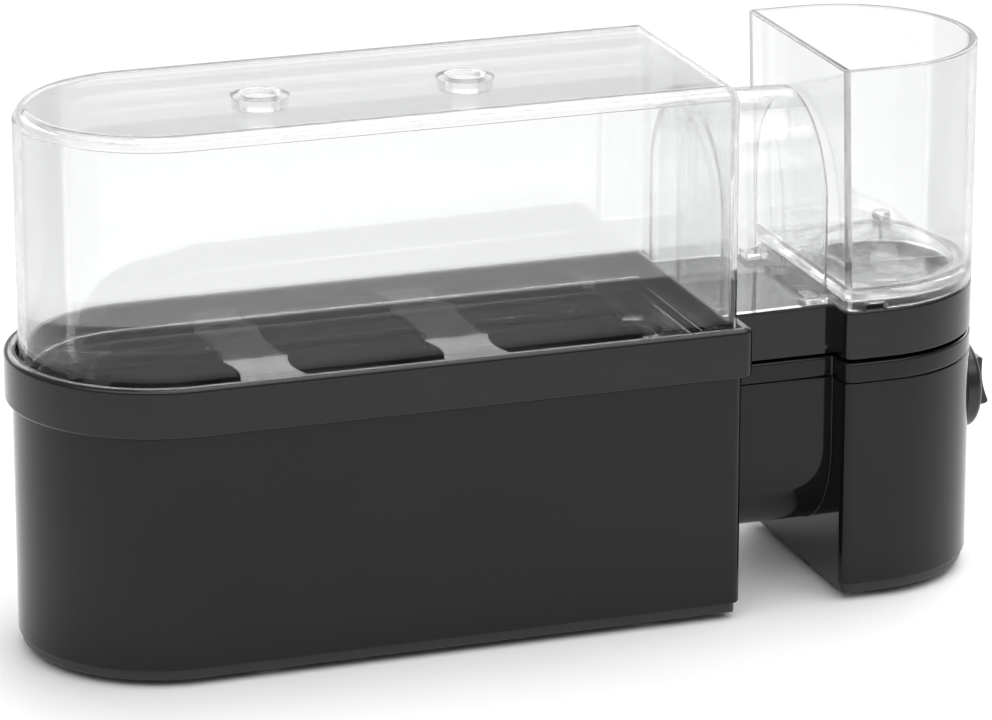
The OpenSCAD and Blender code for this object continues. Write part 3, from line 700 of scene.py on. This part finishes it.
def make_cup():
    """Clear cup whose floor rises to a dome with the needle's boss."""
    rings = d_rings(cup_profile(), TOWER_W, CUP_FLAT, CUP_CORNER_R, tower_outline, cup_lean)
    cup = loft("cup_clear", rings)
    outer = [p for p in dome_points(DOME_R, CUP_FLOOR + 0.9) if p[0] >= BOSS_FOOT_R]
    boss = [(BOSS_FOOT_R, DOME_TOP - 0.12), (2.15, DOME_TOP + 0.3), (2.1, BOSS_TOP - 0.4),
            (1.95, BOSS_TOP - 0.1), (1.6, BOSS_TOP)]
    join_with(cup, lathe("dome", outer + boss, DOME_X))
    hollow = dome_points(DOME_R - CUP_WALL, CUP_FLOOR - 1) + [(0.3, DOME_TOP - CUP_WALL - 0.001)]
    needle_bore = [(0.5, CUP_FLOOR), (0.5, BOSS_TOP - 1)]
    notch = block("notch", (NOTCH_X[0], -TOWER_W - 5, CUP_LOW.z - 2),
                  (NOTCH_X[1], -NOTCH_INNER_W, CUP_LOW.z + NOTCH_H), 0.3, 3)
    cut_with(cup, lathe("dome", hollow, DOME_X), lathe("bore", needle_bore, DOME_X, 32), notch)
    finish_piece(cup, "cup", "measuring_cup", "clear_plastic", width_mm=0.12)
    shade_edges(cup, lambda at, normal: at.z > CUP_HIGH.z - 0.4 and normal.z > 0.5)


def make_needle():
    """Steel needle with a ground point, held in the boss."""
    tip, end = NEEDLE_LOW.z, NEEDLE_HIGH.z
    profile = [(0.05, tip), (0.2, tip + 0.9), (0.36, tip + 1.9), (0.46, tip + 2.7),
               (NEEDLE_R, tip + 3.4), (NEEDLE_R, end - 0.1), (NEEDLE_R - 0.1, end - 0.02)]
    needle = lathe("needle", profile, DOME_X, 32)
    finish_piece(needle, "cup", "piercing_needle", "needle_steel", width_mm=0)


# ------------------------------------------------------------------ egg tray

HOOD_GAP = 0.35
RECESS = RIM_W - HOOD_W - HOOD_GAP
LEDGE_END = RECESS + 2.4
LEDGE_Z = HOOD_BOTTOM - 0.05
SKIRT = RIM_W - BODY_W - 0.3

SEAT_R = 17.5
LOBE_AT = 16.6
LOBE_R = 6.4
SLOT_Y = 8.4
SLOT_R = 0.8
SLOT_HALF_L = 1.5
CUT_LOW, CUT_HIGH = TRAY_UNDER - 2, TRAY_FLOOR + 2

RIB_WALL = 1.5
RIB_ROOT_Z = RIM_TOP - 0.8
HANDLE_R = 0.8
PROP_R = 4


def tray_profile():
    """(inset, z) of the rim: from under the floor, round the rim, to the floor's middle."""
    return (
        [(SKIRT + 3, TRAY_UNDER)]
        + turn("ceiling_to_wall", SKIRT, TRAY_UNDER, 0.5, 3)
        + turn("inside_bottom", SKIRT, TRAY_BOTTOM, 0.35, 3)
        + turn("outside_bottom", 0, TRAY_BOTTOM, 0.9, 5)
        + turn("outside_top", 0, RIM_TOP, 1.1, 6)
        + turn("inside_top", RECESS, RIM_TOP, 0.9, 5)
        + turn("wall_to_floor", RECESS, LEDGE_Z, 0.4, 3)
        + turn("inside_top", LEDGE_END, LEDGE_Z, 0.4, 3)
        + turn("wall_to_floor", LEDGE_END, TRAY_FLOOR, 0.8, 4)
    )


def seat_cutter(index):
    """Round opening with lobes; the end seats have one more lobe towards the tray's end."""
    x = SEATS[index]
    angles = [45, 135, 225, 315] + {0: [180], 2: [0]}.get(index, [])
    cutter = prism("seat", circle(x, 0, SEAT_R, 120), CUT_LOW, CUT_HIGH)
    lobes = []
    for angle in angles:
        a = math.radians(angle)
        outline = circle(x + LOBE_AT * math.cos(a), LOBE_AT * math.sin(a), LOBE_R, 48)
        lobes.append(prism("lobe", outline, CUT_LOW, CUT_HIGH))
    return join_with(cutter, *lobes)


def slot_cutter(x, y):
    """Short drain slot with round ends."""
    outline = (arc(x + SLOT_HALF_L, y, SLOT_R, -90, 90, 8)
               + arc(x - SLOT_HALF_L, y, SLOT_R, 90, 270, 8))
    return prism("slot", outline, CUT_LOW, CUT_HIGH)


def tower_tray_top():
    """Shell over the tower that the cup stands on."""
    ceiling = RIM_TOP - TRAY_WALL
    profile = (
        [(TRAY_WALL + 2.5, ceiling)]
        + turn("ceiling_to_wall", TRAY_WALL, ceiling, 1.0, 3)
        + turn("inside_bottom", TRAY_WALL, TRAY_BOTTOM, 0.35, 3)
        + turn("outside_bottom", 0, TRAY_BOTTOM, 0.45, 4)
        + turn("outside_top", 0, RIM_TOP, 0.8, 5)
    )
    return loft("tower_top", d_rings(profile, TOWER_W, TOWER_FLAT, CORNER_R, tower_outline))


def handle_section(x):
    """Channel section of the handle that spans the bridge, open underneath."""
    y, z = BRIDGE_W - HANDLE_R, RIM_TOP - HANDLE_R
    outer = ([(BRIDGE_W, TRAY_BOTTOM)] + arc(y, z, HANDLE_R, 0, 90, 5)
             + arc(-y, z, HANDLE_R, 90, 180, 5) + [(-BRIDGE_W, TRAY_BOTTOM)])
    inner_w, ceiling = BRIDGE_W - TRAY_WALL, RIM_TOP - TRAY_WALL
    inner = [(-inner_w, TRAY_BOTTOM), (-inner_w, ceiling), (inner_w, ceiling),
             (inner_w, TRAY_BOTTOM)]
    return [(x, y, z) for y, z in outer + inner]


def cup_rib():
    """Rib on the tower top that the cup's skirt fits round."""
    profile = (
        [(0, RIB_ROOT_Z)]
        + turn("outside_top", 0, RIB_TOP, 0.4, 3)
        + turn("inside_top", RIB_WALL, RIB_TOP, 0.4, 3)
        + [(RIB_WALL, RIB_ROOT_Z)]
    )
    half_w, flat = TOWER_W - CUP_WALL - 0.4, CUP_FLAT + CUP_WALL + 0.6
    return loft("rib", d_rings(profile, half_w, flat, CUP_CORNER_R, tower_outline), closed=True)


def make_tray():
    """Carrier: rim, floor with seats and drain slots, handle and tower top."""
    tray = loft("tray", d_rings(tray_profile(), RIM_W, RIM_FLAT, CORNER_R))
    handle = loft("handle", [handle_section(x) for x in (RIM_FLAT - 1.2, TOWER_FLAT + 1.2)])
    prop = lathe("prop", [(PROP_R, DECK_TOP), (PROP_R, RIM_TOP - TRAY_WALL + 0.5)], DOME_X)
    join_with(tray, handle, tower_tray_top(), cup_rib(), prop)
    passage = block("passage", (RIM_FLAT + 0.4, TRAY_WALL - BRIDGE_W, TRAY_BOTTOM - 1),
                    (TOWER_FLAT + TRAY_WALL + 1, BRIDGE_W - TRAY_WALL, RIM_TOP - TRAY_WALL))
    cut_with(tray, passage)
    cut_with(tray, *[seat_cutter(i) for i in range(len(SEATS))])
    cut_with(tray, *[slot_cutter(x, side * SLOT_Y) for x in BETWEEN_SEATS for side in (-1, 1)])
    finish_piece(tray, "tray", "egg_tray", "tray_black", width_mm=0.45, segments=3)


# ------------------------------------------------------------------ heating dish

DISH_SHEET = 1.2
BOWL_W = 27.0
BOWL_UNDER = 48.0
BOWL_R = 3.0
DISH_CORNER_R = 5.0
STUD_R = 2.0
STUDS_X = (25, 100)


def make_dish():
    """Pressed dish with rounded floor, rolled flange and two studs."""
    top = DISH_HIGH.z
    bowl = DISH_HIGH.y - BOWL_W
    profile = (
        [(bowl + 4, BOWL_UNDER)]
        + turn("outside_bottom", bowl, BOWL_UNDER, BOWL_R, 8)
        + arc(bowl - 0.5, top - DISH_SHEET - 0.5, 0.5, 0, 90, 3)
        + arc(0.5, top - 0.6, 0.5, 260, 100, 5)
        + turn("inside_top", bowl + DISH_SHEET, top, 1.2, 4)
        + turn("wall_to_floor", bowl + DISH_SHEET, BOWL_UNDER + DISH_SHEET,
               BOWL_R - DISH_SHEET, 8)
    )
    dish = loft("dish", d_rings(profile, DISH_HIGH.y, DISH_HIGH.x, DISH_CORNER_R))
    stud = [(STUD_R - 0.3, DISH_LOW.z), (STUD_R, DISH_LOW.z + 0.3), (STUD_R, BOWL_UNDER + 0.5)]
    join_with(dish, *[lathe("stud", stud, x, 32) for x in STUDS_X])
    finish_piece(dish, "base", "heating_dish", "dish_coating", width_mm=0.15)


# ------------------------------------------------------------------ switch rocker

ROCKER_TILT = math.radians(9)
ROCKER_W = 5.0
ROCKER_H = 5.8
ROCKER_REACH = 8.4
ROCKER_BACK_R = 6.2
ROCKER_EDGE_R = 0.9
ROCKER_DIP = 0.9
ROCKER_BACK_X = 0.5
ROCKER_BORE_R = 1.2
FACE_STEPS = 12


def rocker_outline():
    """Side view about the pin, not tilted: dished face to +X, round back."""
    high = ROCKER_H - ROCKER_EDGE_R
    face = []
    for i in range(FACE_STEPS + 1):
        z = high - 2 * high * i / FACE_STEPS
        dip = ROCKER_DIP * math.cos(z / ROCKER_H * math.pi / 2)
        face.append((ROCKER_REACH - dip, z))
    return (
        [(ROCKER_BACK_X, ROCKER_H)]
        + arc(ROCKER_REACH - 1.0, high, ROCKER_EDGE_R, 90, 20, 4)
        + face
        + arc(ROCKER_REACH - 1.0, -high, ROCKER_EDGE_R, -20, -90, 4)
        + [(ROCKER_BACK_X, -ROCKER_H)]
        + arc(0, 0, ROCKER_BACK_R, 250, 110, 20)
    )


def make_rocker():
    """Rocker with a dished face and rounded edges, bored for its pin."""
    pin = (PIN_LOW + PIN_HIGH) / 2
    cos, sin = math.cos(ROCKER_TILT), math.sin(ROCKER_TILT)
    turned = [(pin.x + x * cos - z * sin, pin.z + x * sin + z * cos) for x, z in rocker_outline()]
    hole = circle(pin.x, pin.z, ROCKER_BORE_R, 36)
    rocker, bore = (
        loft(name, [[(x, y, z) for x, z in outline] for y in (-half_w, half_w)])
        for name, outline, half_w in (("rocker", turned, ROCKER_W), ("bore", hole, ROCKER_W + 1))
    )
    cut_with(rocker, bore)
    finish_piece(rocker, "rocker", "switch_rocker", "switch_black", width_mm=0.35, segments=3)


# ------------------------------------------------------------------ all pieces

make_hood()
make_cup()
make_needle()
make_tray()
make_dish()
make_rocker()

# The visible seam's two parts get wider rounds that aren't narrowed to fit their finest edges.
SEAM_ROUND_MM = {"lower_housing": 0.3, "top_deck": 0.7}
CAD_ROUND_MM = 0.25
for name, node in frame["nodes"].items():
    if name not in replaced:
        paint(node, BY_SLOT[SLOT_OF[name]])
        soften(node, SEAM_ROUND_MM.get(name, CAD_ROUND_MM), segments=3, angle=35, weld=True,
               clamp=name not in SEAM_ROUND_MM)


# ------------------------------------------------------------------ studio

FLOOR_HALF = 4000.0

TO_WALL = (0.329, 0.944, 0)
TO_RIGHT = (0.944, -0.329, 0)
SIDE_LEVEL = 0.42
WALL_LEVEL = 0.75
SOFTBOX_LEVEL = 2.8
SOFTBOX_SLOPE = 0.35
FRONT_LEVEL = 1.9

CAMERA_AZIMUTH = math.radians(-19.21)
CAMERA_ELEVATION = math.radians(17.94)
CAMERA_DISTANCE = 1.25164
CAMERA_TARGET = Vector((-0.0033, 0, 0.05695))
CAMERA_LENS = 201.5


def make_floor():
    """Plain paper floor, its face upwards."""
    bm = bmesh.new()
    corners = [(-1, -1), (1, -1), (1, 1), (-1, 1)]
    bm.faces.new([bm.verts.new((x * FLOOR_HALF, y * FLOOR_HALF, 0)) for x, y in corners])
    floor = mesh_object("floor", bm)
    if floor.data.polygons[0].normal.z < 0:
        floor.data.flip_normals()
    paint(floor, studio_floor("floor_white"))


def make_world():
    """Dim studio: pale wall behind, wide softbox low over it, bright ceiling in front."""
    world = bpy.data.worlds.new("studio")
    bpy.context.scene.world = world
    world.use_nodes = True
    tree = world.node_tree
    place = add(tree, "ShaderNodeTexCoord").outputs["Generated"]
    facing = along(tree, place, TO_WALL)
    height = along(tree, place, (0, 0, 1))
    wall = step(tree, facing, 0.2, 0.85, SIDE_LEVEL, WALL_LEVEL)
    # the softbox: a crisp lower edge that drops to the right, a soft upper edge, soft ends
    right = calc(tree, "MAXIMUM", along(tree, place, TO_RIGHT), 0.0)
    sloped = calc(tree, "MULTIPLY_ADD", right, SOFTBOX_SLOPE, height)
    lower = step(tree, sloped, 0.298, 0.308)
    upper = step(tree, height, 0.50, 0.62, 1.0, 0.0)
    ends = step(tree, facing, 0.55, 0.8)
    softbox = calc(tree, "MULTIPLY", calc(tree, "MULTIPLY", lower, upper), ends)
    # the bright part above and behind the camera
    front = calc(tree, "MULTIPLY", step(tree, height, 0.45, 0.6), step(tree, facing, -0.15, -0.4))
    total = calc(tree, "MULTIPLY_ADD", softbox, SOFTBOX_LEVEL, wall)
    total = calc(tree, "MULTIPLY_ADD", front, FRONT_LEVEL, total)
    background = tree.nodes["Background"]
    tree.links.new(total, background.inputs["Strength"])
    set_sockets(background, {"Color": (1, 1, 1, 1)})


def soft_sun(name, towards, spread_deg, strength):
    """Very wide source; towards points from the table to the source."""
    data = bpy.data.lights.new(name, "SUN")
    data.energy = strength
    data.angle = math.radians(spread_deg)
    lamp = bpy.data.objects.new(name, data)
    bpy.context.scene.collection.objects.link(lamp)
    lamp.rotation_euler = Vector(towards).to_track_quat("Z", "Y").to_euler()


def make_camera():
    """Long lens from the left front, a little above."""
    data = bpy.data.cameras.new("camera")
    data.lens = CAMERA_LENS
    data.sensor_width = 36
    data.clip_end = 20
    camera = bpy.data.objects.new("camera", data)
    bpy.context.scene.collection.objects.link(camera)
    away = Vector((math.sin(CAMERA_AZIMUTH) * math.cos(CAMERA_ELEVATION),
                   -math.cos(CAMERA_AZIMUTH) * math.cos(CAMERA_ELEVATION),
                   math.sin(CAMERA_ELEVATION)))
    camera.location = CAMERA_TARGET + CAMERA_DISTANCE * away
    camera.rotation_euler = (-away).to_track_quat("-Z", "Y").to_euler()
    bpy.context.scene.camera = camera


make_floor()
make_world()
soft_sun("overhead", towards=(0.3, 0.04, 1.0), spread_deg=45, strength=1.5)
make_camera()
bpy.context.scene.view_settings.view_transform = "Standard"
